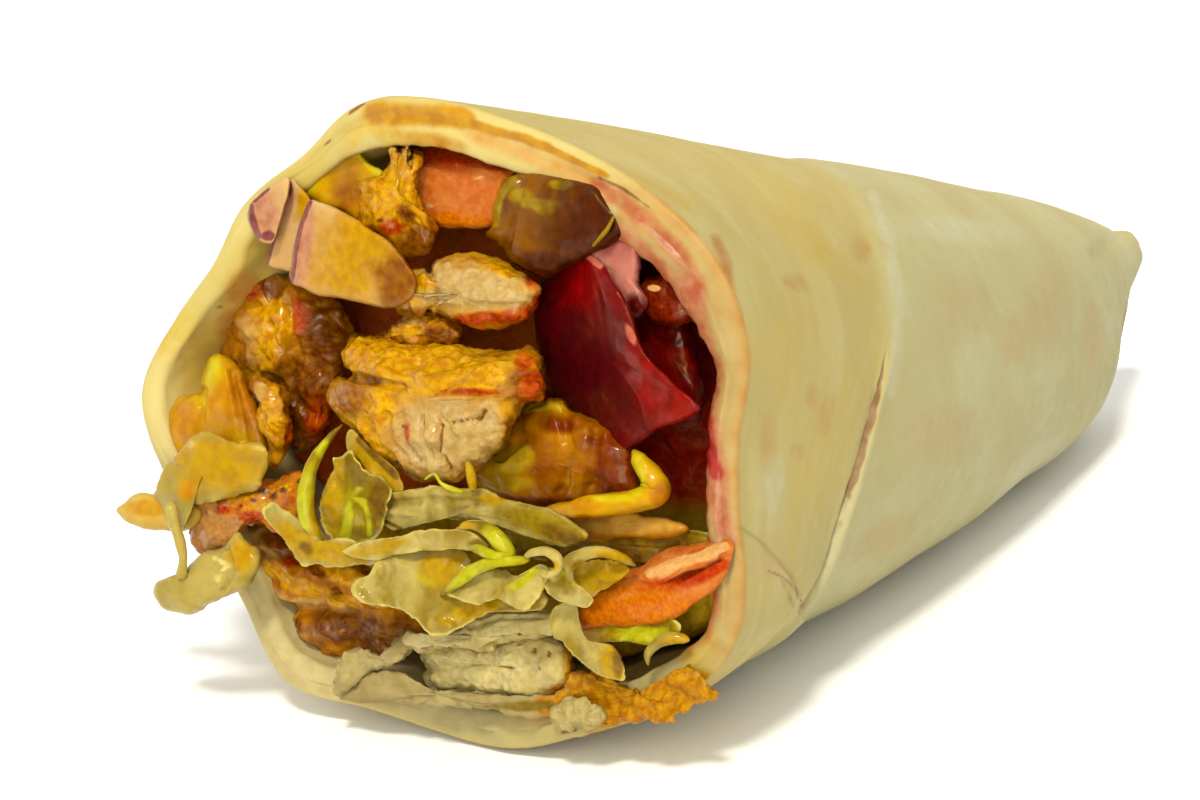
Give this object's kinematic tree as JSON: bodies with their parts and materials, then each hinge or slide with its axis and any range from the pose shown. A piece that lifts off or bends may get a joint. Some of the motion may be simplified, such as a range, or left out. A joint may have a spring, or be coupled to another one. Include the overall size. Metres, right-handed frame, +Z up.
{
  "type": "shawarma wrap",
  "caption": "Cone-shaped shawarma wrap lying on its side: rolled flatbread with chicken, lettuce, pickles, beet, tomato and onion in its open mouth.",
  "frame": {"origin": "middle of the base: the centre of the wrap's box, on the surface it lies on", "axes": "+Z up, +Y along the roll from the open mouth to the pinched tip, +X to the right as seen from the mouth"},
  "size_m": [0.0868, 0.1702, 0.074],
  "materials": {
    "bread": "soft matte flatbread, mottled pale tan",
    "chicken": "browned chicken glazed with yellow-orange sauce",
    "chicken_cut": "fibrous pale cut chicken, glazed at its skin",
    "lettuce": "bright translucent lettuce",
    "lettuce_pale": "pale translucent lettuce and cabbage",
    "onion": "moist red onion with a purple edge",
    "pickled_pepper": "moist pickled pepper",
    "pickle": "olive green pickle",
    "beet": "wet crimson pickled beet",
    "turnip": "wet pink pickled turnip",
    "tomato": "wet tomato flesh with a red skin",
    "carrot": "moist orange carrot",
    "filling": "dark sauce-soaked mixed filling"
  },
  "bodies": {
    "root": {"flatbread": "bread", "bread_fold_left": "bread", "bread_fold_right": "bread", "chicken_crumb": "chicken", "chicken_left": "chicken", "chicken_left_tail": "chicken", "chicken_crust": "chicken", "chicken_low_left": "chicken", "chicken_top": "chicken", "chicken_centre": "chicken_cut", "chicken_strip": "chicken_cut", "chicken_low_slab": "chicken_cut", "chicken_low_flake": "chicken_cut", "lettuce_blade": "lettuce", "lettuce_green": "lettuce", "lettuce_curl": "lettuce", "lettuce_under_tomato": "lettuce", "lettuce_spike": "lettuce", "lettuce_big": "lettuce_pale", "lettuce_mid": "lettuce_pale", "lettuce_sliver": "lettuce_pale", "lettuce_yellow": "lettuce_pale", "lettuce_ribbon": "lettuce_pale", "lettuce_fold": "lettuce_pale", "lettuce_frill": "lettuce_pale", "lettuce_tip": "lettuce_pale", "lettuce_rib": "lettuce_pale", "cabbage_mid": "lettuce_pale", "onion_strip_left": "lettuce_pale", "onion_strand": "lettuce_pale", "onion_blob": "lettuce_pale", "onion_front": "onion", "onion_slice_outer": "onion", "onion_slice_inner": "onion", "pepper_top": "pickled_pepper", "pepper_sprig": "pickled_pepper", "cabbage_strip": "pickled_pepper", "pepper_left": "pickled_pepper", "pickle_slice": "pickle", "pickle_ring": "pickle", "beet_wedge": "beet", "turnip_back": "turnip", "turnip_slice": "turnip", "tomato_top": "tomato", "tomato_side": "tomato", "tomato_slice": "tomato", "carrot_tip": "carrot", "filling_core": "filling"}
  },
  "joints": []
}
